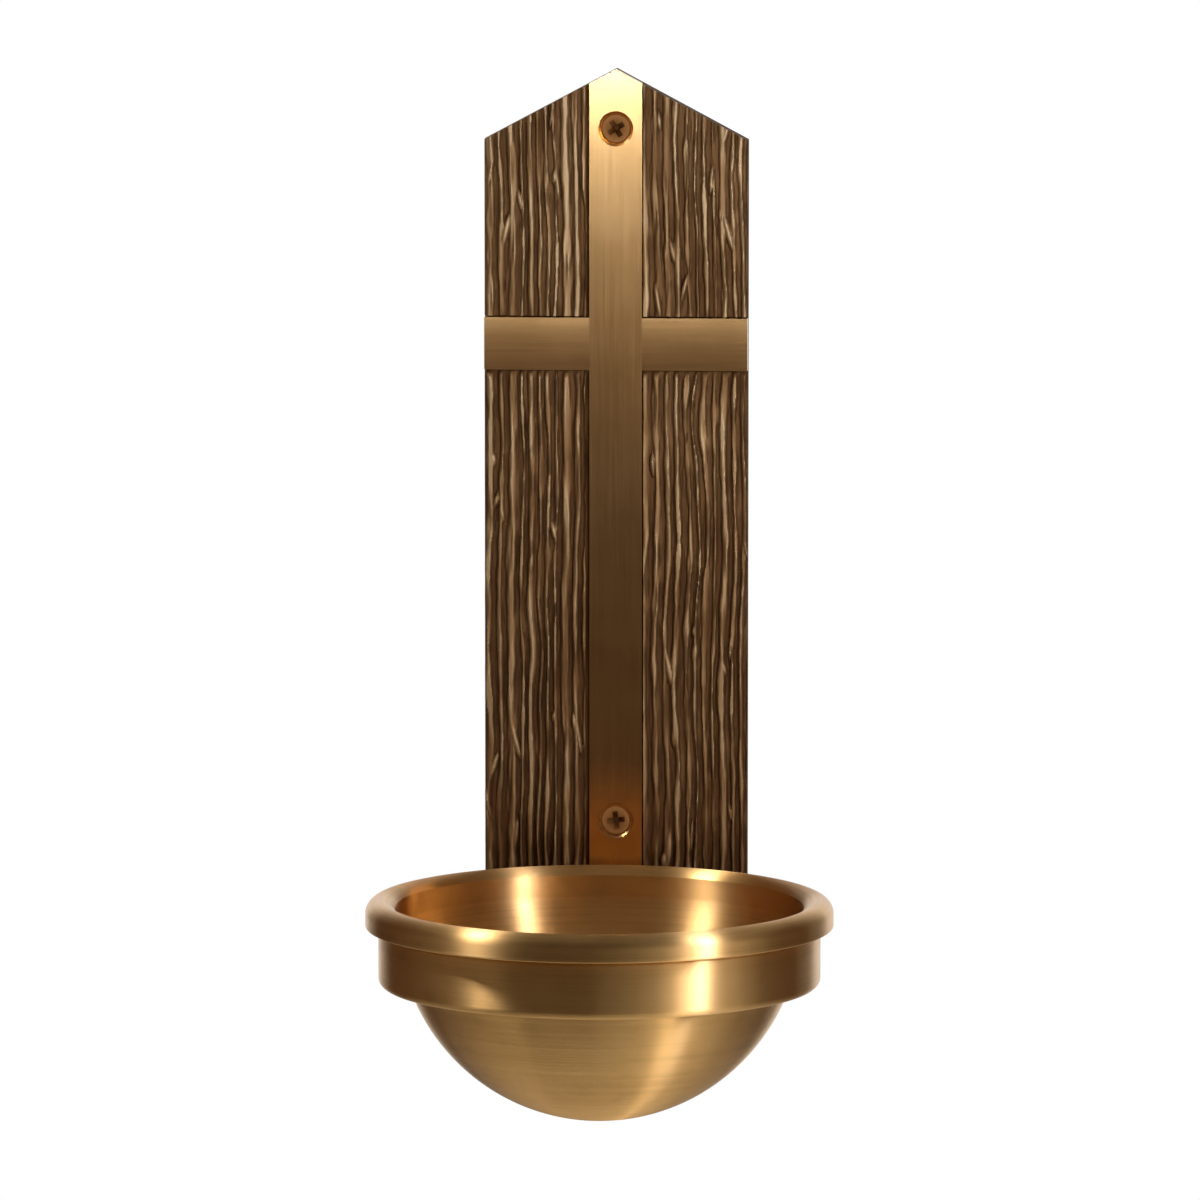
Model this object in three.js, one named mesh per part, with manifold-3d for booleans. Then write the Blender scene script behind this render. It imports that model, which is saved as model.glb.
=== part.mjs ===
// Wall-hung holy water stoup in bronze: a gabled back plate cast with a woodgrain face, a flat cross let
// into the plate, and a turned bowl that hangs by its lip in a ring and lifts out for filling.
// Millimetres, +Z up. The wall is the plane y = 0 and the front faces -Y. The origin is on the wall,
// midway between the two wall screws.
import * as THREE from 'three';
import { mergeVertices } from 'three/addons/utils/BufferGeometryUtils.js';
import Module from 'manifold-3d';

const wasm = await Module();
wasm.setup();

// Clearance between pieces that touch or fit into each other
const FIT_GAP = 0.3;

// Heights, all taken from the two wall screws
const SCREW_SPACING = 168;
const PEAK_ABOVE_SCREW = 14.2;
const ARM_BELOW_SCREW = 52;
const RIM_BELOW_SCREW = 9.8;
const FOOT_BELOW_RING = 9.7;

// Back plate
const PLATE_WIDTH = 63.5;
const GABLE_RISE = 17;
const CHANNEL_FLOOR = 3;

// Woodgrain: ridges that run up the plate, and how they wander, swell and run together
const GRAIN_PITCH = 2.4;
const GRAIN_DEPTH = 1.5;
const GRAIN_SETBACK = 0.5;
const GRAIN_STEP = 11;
const GRAIN_WAVE = 46;
const GRAIN_WANDER = 0.9;
const WANDER_REACH = 4;
const RIDGE_HEIGHTS = [0, 0.8, 1, 0.7];
const RIDGE_PHASE = 2.4;
const RIDGE_SWELL = 0.25;
const SWELL_PACE = 1.7;
const VALLEY_FILL = 0.5;
const FILL_PACE = 1.3;

// Cross bars
const BAR_WIDTH = 12.7;
const BAR_THICKNESS = 3.2;
const BAR_EDGE = 0.5;

// Bowl, a hemisphere that flares a little to its seat
const BOWL_RADIUS = 47.9;
const BOWL_WALL = 1.5;
const BOWL_FLARE = 2.1;
const BOWL_CENTRE_BELOW_RIM = 4.7;
const FLARE_ANGLE = THREE.MathUtils.degToRad(25);

// Lip of the bowl
const LIP_HEIGHT = 6.4;
const LIP_OVERHANG = 3.1;
const LIP_CLEARANCE = 3.5;
const LIP_CROWN = 3.2;
const LIP_CORNER = 0.8;
const MOUTH_DROP = 1.9;

// Ring that carries the bowl, and the block that holds it off the plate
const RING_WALL = 2.1;
const RING_HEIGHT = 13.6;
const RING_EDGE = 1.8;
const STANDOFF_HEIGHT = 12.4;

// Countersunk screws: wood screws to the wall, machine screws in the ring and the arms
const WALL_SCREW_HEAD = 8.4;
const WALL_SCREW_SHANK = 4.2;
const WALL_SCREW_LENGTH = 38;
const WALL_SCREW_POINT = 8;
const MACHINE_SCREW_HEAD = 5.5;
const MACHINE_SCREW_SHANK = 3;
const MACHINE_SCREW_POINT = 0.4;
const RING_SCREW_SPACING = 6.2;
const ARM_SCREW_DEPTH = 1.4;
const RING_SCREW_SHY = 0.4;
const DRILL_PAST = 1;
const COUNTERSINK_ANGLE = THREE.MathUtils.degToRad(41);
const HEAD_LAND = 0.3;
const HEAD_SUNK = 0.2;

// Cross recess in a screw head, as shares of the head's diameter
const RECESS_SPAN = 0.55;
const RECESS_WIDTH = 0.13;
const RECESS_DEPTH = 0.24;

// Facets round a turned piece and a screw, and steps along the rounds of a profile
const TURNED_SIDES = 64;
const SCREW_SIDES = 20;
const SPHERE_STEPS = 8;
const ROUND_STEPS = 5;
const SMALL_ROUND_STEPS = 3;

// Places that follow from the sizes above
const upperScrewZ = SCREW_SPACING / 2;
const lowerScrewZ = -SCREW_SPACING / 2;
const peakZ = upperScrewZ + PEAK_ABOVE_SCREW;
const eavesZ = peakZ - GABLE_RISE;
const armZ = upperScrewZ - ARM_BELOW_SCREW;
const rimZ = lowerScrewZ - RIM_BELOW_SCREW;
const ringTop = rimZ - LIP_HEIGHT - FIT_GAP;
const ringFoot = ringTop - RING_HEIGHT;
const ringMiddle = (ringTop + ringFoot) / 2;
const plateFoot = ringFoot - FOOT_BELOW_RING;

// Distances in front of the wall
const barBack = CHANNEL_FLOOR + FIT_GAP;
const barFace = barBack + BAR_THICKNESS;
const grainBed = barFace - GRAIN_SETBACK - GRAIN_DEPTH;

// Radii about the bowl's axis, and the axis's distance in front of the wall
const seatRadius = BOWL_RADIUS + BOWL_FLARE;
const mouthRadius = seatRadius - BOWL_WALL;
const ringInner = seatRadius + FIT_GAP;
const ringOuter = ringInner + RING_WALL;
const lipRadius = ringOuter + LIP_OVERHANG;
const axisDepth = barFace + LIP_CLEARANCE + lipRadius;

const darkBronze = new THREE.MeshStandardMaterial({ color: 0x4a3a28, roughness: 0.55, metalness: 1 });
const satinBronze = new THREE.MeshStandardMaterial({ color: 0xb5854a, roughness: 0.32, metalness: 1 });
const screwBronze = new THREE.MeshStandardMaterial({ color: 0x9c6f3d, roughness: 0.4, metalness: 1 });

// Turns a closed geometry into a solid that can be joined and cut.
function solid(geometry) {
  const bare = geometry.clone();
  bare.deleteAttribute('normal');
  bare.deleteAttribute('uv');
  const welded = mergeVertices(bare);
  const corners = welded.index.array;
  const triangles = [];
  for (let i = 0; i < corners.length; i += 3) {
    const [a, b, c] = corners.slice(i, i + 3);
    if (a !== b && b !== c && c !== a) triangles.push(a, b, c);
  }
  const vertProperties = new Float32Array(welded.attributes.position.array);
  const triVerts = new Uint32Array(triangles);
  return new wasm.Manifold(new wasm.Mesh({ numProp: 3, vertProperties, triVerts }));
}

// A named mesh of a finished solid.
function piece(name, body, material) {
  const { vertProperties, triVerts } = body.getMesh();
  const geometry = new THREE.BufferGeometry();
  geometry.setAttribute('position', new THREE.BufferAttribute(vertProperties, 3));
  geometry.setIndex(new THREE.BufferAttribute(triVerts, 1));
  geometry.computeVertexNormals();
  const mesh = new THREE.Mesh(geometry, material);
  mesh.name = name;
  return mesh;
}

// A shape drawn in x and z, made solid from one distance in front of the wall to another.
function panel(shape, from, to) {
  const geometry = new THREE.ExtrudeGeometry(shape, { depth: to - from, bevelEnabled: false });
  return geometry.rotateX(Math.PI / 2).translate(0, -from, 0);
}

// A profile of (radius, height) points turned about the vertical.
function turned(points, sides) {
  return new THREE.LatheGeometry(points, sides).rotateX(Math.PI / 2);
}

// Points of a profile along an arc, both ends included.
function arc(centreR, centreZ, radius, from, to, steps) {
  return Array.from({ length: steps + 1 }, (_, i) => {
    const angle = from + ((to - from) * i) / steps;
    return new THREE.Vector2(centreR + radius * Math.cos(angle), centreZ + radius * Math.sin(angle));
  });
}

// The seat of a screw: the middle of its head's face, with the head facing the room or the wall.
function seat(x, depth, z, facesRoom) {
  const turn = new THREE.Matrix4().makeRotationX(facesRoom ? Math.PI / 2 : -Math.PI / 2);
  return new THREE.Matrix4().makeTranslation(x, -depth, z).multiply(turn);
}

// The turned form of a countersunk screw, head up. Grown by a clearance and carried on past its head
// and its end, the same form is the tool that cuts the screw's hole.
function screwForm(size, clearance, above, below) {
  const head = size.head / 2 + clearance;
  const shank = size.shank / 2 + clearance;
  const coneFoot = -HEAD_LAND - (size.head - size.shank) / 2 / Math.tan(COUNTERSINK_ANGLE);
  const end = -size.length - below;
  const profile = [
    new THREE.Vector2(0, end),
    new THREE.Vector2(Math.max(shank - size.taper, 0), end),
    new THREE.Vector2(shank, end + size.point),
    new THREE.Vector2(shank, coneFoot),
    new THREE.Vector2(head, -HEAD_LAND),
    new THREE.Vector2(head, above),
    new THREE.Vector2(0, above),
  ];
  return turned(profile, SCREW_SIDES);
}

// A screw with its cross recess: two wings that narrow as they go down.
function screw(name, size, place) {
  const top = (size.head * RECESS_SPAN) / 2;
  const depth = size.head * RECESS_DEPTH;
  const width = size.head * RECESS_WIDTH;
  const wing = new THREE.Shape();
  wing.moveTo(-top, FIT_GAP);
  wing.lineTo(-top, 0);
  wing.lineTo(-width / 2, -depth);
  wing.lineTo(width / 2, -depth);
  wing.lineTo(top, 0);
  wing.lineTo(top, FIT_GAP);
  const slot = new THREE.ExtrudeGeometry(wing, { depth: width, bevelEnabled: false });
  slot.translate(0, 0, -width / 2).rotateX(Math.PI / 2);
  const across = slot.clone().rotateZ(Math.PI / 2);
  const body = solid(screwForm(size, 0, 0, 0)).subtract(solid(slot)).subtract(solid(across));
  const mesh = piece(name, body, screwBronze);
  mesh.applyMatrix4(place);
  return mesh;
}

// The hole that a screw needs where it is seated.
function screwHole(size, place) {
  return solid(screwForm(size, FIT_GAP, size.head, DRILL_PAST).applyMatrix4(place));
}

// Screw sizes and seats
const wallScrew = {
  head: WALL_SCREW_HEAD,
  shank: WALL_SCREW_SHANK,
  length: WALL_SCREW_LENGTH,
  point: WALL_SCREW_POINT,
  taper: WALL_SCREW_SHANK / 2,
};
const machineScrew = {
  head: MACHINE_SCREW_HEAD,
  shank: MACHINE_SCREW_SHANK,
  point: MACHINE_SCREW_POINT,
  taper: MACHINE_SCREW_POINT,
};
const ringScrewFace = axisDepth - ringInner - HEAD_SUNK;
const ringScrew = { ...machineScrew, length: ringScrewFace - RING_SCREW_SHY };
const armScrew = { ...machineScrew, length: barBack + ARM_SCREW_DEPTH - HEAD_SUNK };
const armMiddle = (PLATE_WIDTH / 2 + BAR_WIDTH / 2) / 2;
const screwSeats = {
  wall_screw_upper: [wallScrew, seat(0, barFace - HEAD_SUNK, upperScrewZ, true)],
  wall_screw_lower: [wallScrew, seat(0, barFace - HEAD_SUNK, lowerScrewZ, true)],
  ring_screw_upper: [ringScrew, seat(0, ringScrewFace, ringMiddle + RING_SCREW_SPACING / 2, true)],
  ring_screw_lower: [ringScrew, seat(0, ringScrewFace, ringMiddle - RING_SCREW_SPACING / 2, true)],
  arm_screw_left: [armScrew, seat(-armMiddle, HEAD_SUNK, armZ, false)],
  arm_screw_right: [armScrew, seat(armMiddle, HEAD_SUNK, armZ, false)],
};
const holes = Object.values(screwSeats).map(([size, place]) => screwHole(size, place));

// A body with every screw hole that meets it.
function drilled(body) {
  return holes.reduce((rest, hole) => rest.subtract(hole), body);
}

// The gabled outline that the plate and the top of the upright share.
function gable() {
  const half = PLATE_WIDTH / 2;
  const outline = new THREE.Shape();
  outline.moveTo(-half, plateFoot);
  outline.lineTo(half, plateFoot);
  outline.lineTo(half, eavesZ);
  outline.lineTo(0, peakZ);
  outline.lineTo(-half, eavesZ);
  return outline;
}

// A slow wave up the plate.
function ripple(phase, z, pace) {
  return Math.sin((2 * Math.PI * pace * z) / GRAIN_WAVE + phase);
}

// The space in front of the woodgrain: a slab wider and taller than the plate, with a hollow in its
// back for each ridge. Two ridges run together where the valley between them fills.
function grainCutter() {
  const width = PLATE_WIDTH + 2 * GRAIN_PITCH;
  const height = peakZ - plateFoot + GRAIN_STEP;
  const columns = Math.round(width / GRAIN_PITCH) * RIDGE_HEIGHTS.length;
  const rows = Math.round(height / GRAIN_STEP);
  const slab = new THREE.BoxGeometry(width, barFace, height, columns, 1, rows);
  slab.translate(0, -barFace, (peakZ + plateFoot) / 2);
  const points = slab.attributes.position;
  for (let i = 0; i < points.count; i += 1) {
    const x = points.getX(i);
    const z = points.getZ(i);
    const column = Math.round((x / width + 0.5) * columns);
    const ridge = Math.floor(column / RIDGE_HEIGHTS.length);
    const share = RIDGE_HEIGHTS[column % RIDGE_HEIGHTS.length];
    const crest = share * (1 - RIDGE_SWELL + RIDGE_SWELL * ripple(RIDGE_PHASE * ridge, z, SWELL_PACE));
    const fill = (1 - share) * VALLEY_FILL * Math.max(ripple(RIDGE_PHASE * ridge, z, FILL_PACE), 0);
    if (points.getY(i) > -barFace) {
      points.setX(i, x + GRAIN_WANDER * ripple(x / WANDER_REACH, z, 1));
      points.setY(i, -grainBed - GRAIN_DEPTH * (crest + fill));
    }
  }
  return solid(slab);
}

// Channel that a bar of the cross lies in, cut past the plate's edges.
function channel(width, height, z) {
  const cut = new THREE.BoxGeometry(width, barFace, height);
  return solid(cut.translate(0, -CHANNEL_FLOOR - barFace / 2, z));
}

// Back plate: a gabled slab with its face carved to woodgrain and crossed by the channels for the bars.
function backPlate() {
  const slot = BAR_WIDTH + 2 * FIT_GAP;
  const carved = solid(panel(gable(), 0, barFace)).subtract(grainCutter());
  const crossed = carved
    .subtract(channel(slot, 2 * (peakZ - plateFoot), 0))
    .subtract(channel(2 * PLATE_WIDTH, slot, armZ));
  return piece('back_plate', drilled(crossed), darkBronze);
}

// A length of flat bar standing on z = 0, with its front edges eased.
function flatBar(length) {
  const half = BAR_WIDTH / 2;
  const edge = half - BAR_EDGE;
  const eased = -barFace + BAR_EDGE;
  const section = new THREE.Shape();
  section.moveTo(half, -barBack);
  section.lineTo(-half, -barBack);
  section.absarc(-edge, eased, BAR_EDGE, Math.PI, 1.5 * Math.PI);
  section.absarc(edge, eased, BAR_EDGE, 1.5 * Math.PI, 2 * Math.PI);
  return new THREE.ExtrudeGeometry(section, {
    depth: length,
    curveSegments: SMALL_ROUND_STEPS,
    bevelEnabled: false,
  });
}

// Upright of the cross, from the plate's foot to its peak, cut to the gable.
function crossUpright() {
  const bar = solid(flatBar(peakZ - plateFoot).translate(0, 0, plateFoot));
  const outline = solid(panel(gable(), 0, barFace + FIT_GAP));
  return piece('cross_upright', drilled(bar.intersect(outline)), satinBronze);
}

// Arm of the cross, from the upright to the plate's edge.
function crossArm(name, direction) {
  const length = PLATE_WIDTH / 2 - BAR_WIDTH / 2 - FIT_GAP;
  const inner = BAR_WIDTH / 2 + FIT_GAP;
  const bar = flatBar(length).rotateY(Math.PI / 2);
  bar.translate(direction > 0 ? inner : -inner - length, 0, armZ);
  return piece(name, drilled(solid(bar)), satinBronze);
}

// Block between the upright and the ring, hollowed to the ring's round.
function standoffBlock() {
  const half = BAR_WIDTH / 2;
  const radius = ringOuter + FIT_GAP;
  const lean = Math.asin(half / radius);
  const plan = new THREE.Shape();
  plan.moveTo(half, -barFace - FIT_GAP);
  plan.lineTo(-half, -barFace - FIT_GAP);
  plan.absarc(0, -axisDepth, radius, Math.PI / 2 + lean, Math.PI / 2 - lean, true);
  const block = new THREE.ExtrudeGeometry(plan, {
    depth: STANDOFF_HEIGHT,
    curveSegments: ROUND_STEPS,
    bevelEnabled: false,
  });
  block.translate(0, 0, ringMiddle - STANDOFF_HEIGHT / 2);
  return piece('standoff_block', drilled(solid(block)), satinBronze);
}

// Ring that the bowl hangs in, its lower outside edge rounded as far as its wall allows.
function bowlRing() {
  const edge = Math.min(RING_EDGE, RING_WALL);
  const profile = [
    new THREE.Vector2(ringInner, ringFoot),
    ...arc(ringOuter - edge, ringFoot + edge, edge, -Math.PI / 2, 0, ROUND_STEPS),
    new THREE.Vector2(ringOuter, ringTop),
    new THREE.Vector2(ringInner, ringTop),
    new THREE.Vector2(ringInner, ringFoot),
  ];
  const ring = turned(profile, TURNED_SIDES).translate(0, -axisDepth, 0);
  return piece('bowl_ring', drilled(solid(ring)), satinBronze);
}

// Side of the bowl between its hemisphere and the straight stretch under the lip, as a curve that
// runs on smoothly from both, listed upwards.
function flare(sphereRadius, topRadius) {
  const startR = sphereRadius * Math.cos(FLARE_ANGLE);
  const startZ = -BOWL_CENTRE_BELOW_RIM - sphereRadius * Math.sin(FLARE_ANGLE);
  const bendZ = startZ + (topRadius - startR) / Math.tan(FLARE_ANGLE);
  const curve = new THREE.QuadraticBezierCurve(
    new THREE.Vector2(startR, startZ),
    new THREE.Vector2(topRadius, bendZ),
    new THREE.Vector2(topRadius, -LIP_HEIGHT),
  );
  return curve.getPoints(ROUND_STEPS);
}

// Bowl with its crowned lip, turned in one piece, with its rim at z = 0.
function bowl() {
  const innerRadius = BOWL_RADIUS - BOWL_WALL;
  const crest = lipRadius - LIP_CROWN;
  const run = crest - mouthRadius;
  const crownRadius = (run * run + MOUTH_DROP * MOUTH_DROP) / (2 * MOUTH_DROP);
  const crownTurn = Math.asin(run / crownRadius);
  const bottom = -Math.PI / 2;
  const profile = [
    ...arc(0, -BOWL_CENTRE_BELOW_RIM, BOWL_RADIUS, bottom, -FLARE_ANGLE, SPHERE_STEPS).slice(0, -1),
    ...flare(BOWL_RADIUS, seatRadius),
    ...arc(lipRadius - LIP_CORNER, LIP_CORNER - LIP_HEIGHT, LIP_CORNER, bottom, 0, SMALL_ROUND_STEPS),
    ...arc(crest, -LIP_CROWN, LIP_CROWN, 0, Math.PI / 2, ROUND_STEPS).slice(0, -1),
    ...arc(crest, -crownRadius, crownRadius, Math.PI / 2, Math.PI / 2 + crownTurn, SMALL_ROUND_STEPS),
    ...flare(innerRadius, mouthRadius).reverse(),
    ...arc(0, -BOWL_CENTRE_BELOW_RIM, innerRadius, -FLARE_ANGLE, bottom, SPHERE_STEPS).slice(1),
  ];
  const mesh = piece('bowl', solid(turned(profile, TURNED_SIDES)), satinBronze);
  mesh.position.set(0, -axisDepth, rimZ);
  return mesh;
}

const stoup = new THREE.Group();
stoup.name = 'holy_water_stoup';
stoup.add(backPlate());
stoup.add(crossUpright());
stoup.add(crossArm('cross_arm_left', -1));
stoup.add(crossArm('cross_arm_right', 1));
stoup.add(standoffBlock());
stoup.add(bowlRing());
stoup.add(bowl());
for (const [name, [size, place]] of Object.entries(screwSeats)) {
  stoup.add(screw(name, size, place));
}

export default stoup;
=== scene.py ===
"""Looks of a wall-hung bronze holy water stoup: a cast plate with a woodgrain face, a brushed cross let
into it, and a turned bowl that hangs by its lip in a ring. Metres, +Z up, the wall is the plane y = 0."""

import math
from typing import NamedTuple

import bmesh
import bpy
import numpy as np
from mathutils import Matrix, Vector


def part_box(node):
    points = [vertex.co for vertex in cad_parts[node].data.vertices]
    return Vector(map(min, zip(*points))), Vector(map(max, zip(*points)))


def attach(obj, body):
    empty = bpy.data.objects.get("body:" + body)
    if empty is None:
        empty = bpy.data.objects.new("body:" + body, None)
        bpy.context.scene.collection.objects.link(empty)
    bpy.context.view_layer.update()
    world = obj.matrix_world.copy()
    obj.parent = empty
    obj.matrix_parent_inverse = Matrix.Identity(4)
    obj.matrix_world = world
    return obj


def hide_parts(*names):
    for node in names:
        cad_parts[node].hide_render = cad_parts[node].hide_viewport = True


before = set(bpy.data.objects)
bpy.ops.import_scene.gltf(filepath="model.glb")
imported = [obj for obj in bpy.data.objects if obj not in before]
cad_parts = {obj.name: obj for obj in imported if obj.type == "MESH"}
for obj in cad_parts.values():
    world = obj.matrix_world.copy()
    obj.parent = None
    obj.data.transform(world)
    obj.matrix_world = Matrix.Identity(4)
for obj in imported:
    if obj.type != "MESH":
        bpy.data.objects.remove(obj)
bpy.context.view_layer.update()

# Clearance between pieces that touch or fit into each other
FIT_GAP = 0.0003

# Back plate: its gable, the channels for the cross and the chamfer round its back
GABLE_RISE = 0.017
CHANNEL_FLOOR = 0.003
BACK_CHAMFER = 0.0004

# Woodgrain: size of the relief, its ridges and their unevenness, splinters that stand up, and the dip to
# the left of the upright and under the arms, where the dark valley colour is painted shade
GRAIN_SEED = 7
GRAIN_SETBACK = 0.0005
GRAIN_DEPTH = 0.0015
GRAIN_COLUMN = 0.00021
GRAIN_ROW = 0.0008
RIDGE_PITCH = (0.0015, 0.0034)
RIDGE_GROOVE = (0.2, 0.52)
RIDGE_LEVEL = (0.55, 0.95)
RIDGE_SHOULDER = 2.6
VALLEY_LEVEL = 0.2
RIDGE_WANDER = 0.00018
WANDER_LENGTHS = (0.053, 0.027)
GROOVE_CHANGE = 0.6
GROOVE_LENGTHS = (0.047, 0.019, 0.0083)
SHARED_WANDER = 0.0005
SHARED_LENGTHS = (0.14, 0.062)
SHARED_SLANT = 0.4
BENDS = 12
BEND_PUSH = 0.0011
BEND_SIZE = (0.004, 0.009)
RAGGED = {"height": 0.00016, "width": 0.0013, "length": 0.012}
PATCHY = {"height": 0.65, "width": 0.0016, "length": 0.011}
FIBROUS = {"height": 0.18, "width": 0.0005, "length": 0.005}
SPLINTERS = 60
SPLINTER_LENGTH = (0.0015, 0.005)
SPLINTER_WIDTH = (0.0005, 0.0009)
SPLINTER_SLANT = 0.3
GRAIN_SHADE_DIP = 0.0011

# Cross bars: the slight crown of the arms' front faces and the joint at their inner ends
ARM_CROWN = 0.0001
CROWN_STEPS = 12
ARM_JOINT = 0.00001

# Bowl, a hemisphere that flares a little to its seat, and its lip
BOWL_RADIUS = 0.0479
BOWL_WALL = 0.0015
BOWL_FLARE = 0.0021
BOWL_CENTRE_BELOW_RIM = 0.0047
FLARE_ANGLE = math.radians(25)
LIP_HEIGHT = 0.0064
LIP_CROWN = 0.0032
LIP_CORNER = 0.0005
MOUTH_DROP = 0.0019

# Ring, and the edges of the block behind it
BLOCK_EDGE = 0.0004
BLOCK_EDGE_STEPS = 3
RING_WALL = 0.0021
RING_EDGE = 0.0018
RING_TOP_EDGE = 0.0009

# Screws: the sink of a head and the sizes of its recess are shares of its diameter, and a turn is a recess's
COUNTERSINK_ANGLE = math.radians(41)
HEAD_SINK = 0.09
HEAD_EDGE = 0.00015
SCREW_FIT = 0.00006
DRILL_PAST = 0.001
WALL_SHANK = 0.0042
WALL_POINT = 0.008
MACHINE_SHANK = 0.003
MACHINE_POINT = 0.0004
WOOD_THREAD = {"pitch": 0.0021, "depth": 0.0006, "start": 0.012}
MACHINE_THREAD = {"pitch": 0.0005, "depth": 0.0003, "start": 0.003}
THREAD_STEPS = 8
GROOVE_LIMIT = 0.5
RECESS_SPAN = 0.52
RECESS_WIDTH = 0.15
RECESS_DEPTH = 0.3
UPPER_TURN = math.radians(32)
LOWER_TURN = math.radians(6)
RING_SCREW_TURN = math.radians(20)
ARM_SCREW_TURN = math.radians(50)

# Facets round turned pieces and screws, and along the rounds of a profile
TURNED_SIDES = 192
SCREW_SIDES = 48
SPHERE_STEPS = 48
ROUND_STEPS = 10
SHARP_ANGLE = math.radians(35)
SAME_PLACE = 1e-7

# Camera: fitted to the photograph, where the middle of the bowl's rim is at a known pixel
PHOTO_SIZE = 1200
RIM_PIXEL = (600.6, 899.1)
CAMERA_DISTANCE = 2.6
CAMERA_AZIMUTH = math.radians(3.8)
CAMERA_ELEVATION = math.radians(9.08)
FOCAL_PIXELS = 10971
SENSOR_WIDTH = 36


class Noise(NamedTuple):
    """Uneven pattern: its repeats per metre along X, Y and Z, its detail and its share in a colour's tone."""

    scale: tuple
    detail: int
    roughness: float = 0.55
    share: float = 0


# The span that most of a noise lies in
NOISE_SPAN = (0.3, 0.7)

# Finish of the brushed and turned pieces: colours, noises, roughness, and how far highlights are drawn out
BRONZE_DARK = (0.5, 0.285, 0.1)
BRONZE = (0.75, 0.45, 0.175)
BRONZE_PALE = (0.82, 0.52, 0.23)
UPRIGHT_BRUSH = Noise((7000, 7000, 40), 4, 0.6, 0.45)
ARM_BRUSH = Noise((40, 7000, 7000), 4, 0.6, 0.45)
BRUSHED_CLOUDS = Noise((55, 55, 55), 5, share=0.55)
BRUSHED_TONES = ((0.25, BRONZE_DARK), (0.58, BRONZE), (0.8, BRONZE_PALE))
BRUSHED_ROUGHNESS = (0.19, 0.215)
BRUSHED_STRETCH = 0.5
BRUSHED_BUMP = {"Distance": 0.00002, "Strength": 0.12}
TOOL_LINES = Noise((5200, 1, 5200), 3, 0.65, 0.3)
TOOL_BANDS = Noise((700, 1, 700), 2, share=0.2)
TURNED_CLOUDS = Noise((48, 48, 48), 5, share=0.5)
TURNED_TONES = ((0.3, BRONZE_DARK), (0.5, BRONZE), (0.72, BRONZE_PALE))
TURNED_ROUGHNESS = (0.33, 0.5)
TURNED_STRETCH = 1
TURNED_BUMP = {"Distance": 0.00002, "Strength": 0.1}
QUARTER_TURN = 0.25

# Finish of the cast plate: painted shade darkens the tone at its foot, and less at its top
CAST_STREAKS = Noise((900, 900, 45), 4, 0.6, 0.45)
CAST_PATCHES = Noise((130, 130, 50), 4, share=0.8)
CAST_GRIT = Noise((2600, 2600, 1500), 3)
CAST_FOOT_SHADE = (0.95, 0.57)
CAST_TONES = (
    (0.0, (0.085, 0.037, 0.0112)),
    (0.35, (0.15, 0.075, 0.0265)),
    (0.65, (0.25, 0.146, 0.062)),
    (1.0, (0.35, 0.233, 0.117)),
)
CAST_METALLIC = 0.9
CAST_ROUGHNESS = (0.7, 0.52)
STREAK_BUMP = {"Distance": 0.0003, "Strength": 0.25}
GRIT_BUMP = {"Distance": 0.00012, "Strength": 0.35}

# Finish of the screws: painted shade darkens them inside the first radius, and none is left outside the
# second
SCREW_CLOUDS = Noise((700, 700, 700), 4, share=0.6)
SCREW_GRIT = Noise((4200, 4200, 4200), 2)
SCREW_SHADE_RADII = (0.0008, 0.0036)
SCREW_SHADE_LEVELS = (0.1, 0.6)
SCREW_TONES = (
    (0.3, (0.13, 0.048, 0.012)),
    (0.6, (0.27, 0.12, 0.036)),
    (1.0, (0.4, 0.205, 0.072)),
)
SCREW_ROUGHNESS = (0.68, 0.82)
SCREW_BUMP = {"Distance": 0.00003, "Strength": 0.3}

# Studio: floor and ceiling, whose glow changes from front to back, the surround and the colours of lights
AMBIENT = 0.55
DISC_SIDES = 96
FLOOR_DROP = 1.1
FLOOR_RADIUS = 3
FLOOR_COLOUR = (0.78, 0.78, 0.7)
FLOOR_ROUGHNESS = 0.8
FLOOR_MOTTLE = Noise((9, 9, 9), 2)
MOTTLE_DIM = 0.97
FLOOR_GLOW = (0.8, 0.34)
FLOOR_FADE = (-0.6, 0.8)
CEILING_HEIGHT = 1.42
CEILING_GLOW = (0.25, 0.45)
CEILING_FADE = (0, 0.8)
SURROUND_RADIUS = 1.9
SURROUND_HALF_TURN = 150
SURROUND_TOP = 1.4
SURROUND_GLOW = 0.11
BROWN = (1, 0.62, 0.4)
WARM = (1, 0.97, 0.9)
COOL = (0.93, 1, 1.13)
WHITE = (1, 1.02, 1.04)
BLUISH = (1, 1.04, 1.2)


class Panel(NamedTuple):
    """Lamp or cloth on a cylinder about the stoup, between two azimuths and two heights. Azimuths are in
    degrees, 0 in front of the stoup and + to the right."""

    azimuth: tuple
    heights: tuple
    distance: float
    radiance: float
    colour: tuple


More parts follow.
